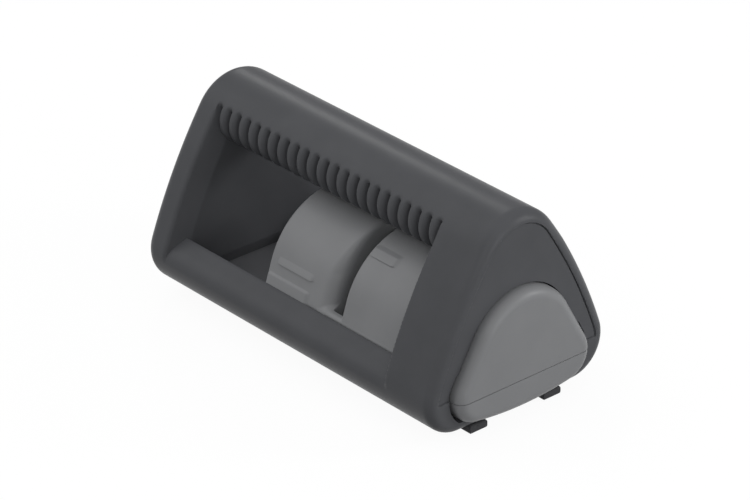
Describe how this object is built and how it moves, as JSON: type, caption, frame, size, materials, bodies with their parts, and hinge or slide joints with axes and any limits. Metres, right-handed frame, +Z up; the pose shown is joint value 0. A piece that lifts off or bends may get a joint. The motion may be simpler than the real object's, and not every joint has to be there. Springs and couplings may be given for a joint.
{
  "type": "knife sharpener",
  "caption": "Hand-held knife sharpener with a ribbed ridge grip over open windows and a sliding slotted carriage that brings a blade to a coarse or a fine ceramic wheel.",
  "frame": {"origin": "on the table, under the middle of the bounding box", "axes": "+X along the grip towards the pull knob, +Y to the back, +Z up"},
  "size_m": [0.1508, 0.078, 0.0746],
  "materials": {
    "housing_plastic": "fine moulded texture, charcoal grey",
    "carriage_plastic": "satin moulded surface, mid grey",
    "rubber": "matt moulded rubber, black",
    "steel": "plain bright steel",
    "acetal": "natural acetal, off-white",
    "coarse_ceramic": "coarse sintered grit, brown grey",
    "fine_ceramic": "fine sintered ceramic, off-white"
  },
  "bodies": {
    "housing": {"housing_shell": "housing_plastic", "right_end_panel": "housing_plastic", "left_end_panel": "housing_plastic", "base_plate": "housing_plastic", "foot_front_left": "rubber", "foot_front_right": "rubber", "foot_back_left": "rubber", "foot_back_right": "rubber", "base_screw_front_left": "steel", "base_screw_front_right": "steel", "base_screw_back_left": "steel", "base_screw_back_right": "steel", "cradle_screw_left": "steel", "cradle_screw_right": "steel", "detent_spring": "steel", "wheel_axle": "steel", "axle_clip_left": "steel", "axle_clip_right": "steel", "thrust_washer_left": "steel", "thrust_washer_right": "steel", "wheel_cradle": "acetal", "wheel_spacer": "acetal"},
    "carriage": {"carriage_cover": "carriage_plastic", "carriage_tray": "carriage_plastic", "carriage_screw_front_left": "steel", "carriage_screw_front_right": "steel", "carriage_screw_back_left": "steel", "carriage_screw_back_right": "steel"},
    "coarse_wheel": {"coarse_hub": "acetal", "coarse_disc_left": "coarse_ceramic", "coarse_disc_right": "coarse_ceramic"},
    "fine_wheel": {"fine_hub": "acetal", "fine_disc_left": "fine_ceramic", "fine_disc_right": "fine_ceramic"}
  },
  "joints": [
    {"name": "carriage_slide", "type": "slide", "parent": "housing", "child": "carriage", "axis": [1, 0, 0], "range_m": [0, 0.012], "deforming": ["detent_spring"]},
    {"name": "coarse_wheel_spin", "type": "hinge", "parent": "housing", "child": "coarse_wheel", "pos_m": [0.0132, 0, 0.0196], "axis": [1, 0, 0], "continuous": true},
    {"name": "fine_wheel_spin", "type": "hinge", "parent": "housing", "child": "fine_wheel", "pos_m": [0.0252, 0, 0.0196], "axis": [1, 0, 0], "continuous": true}
  ]
}
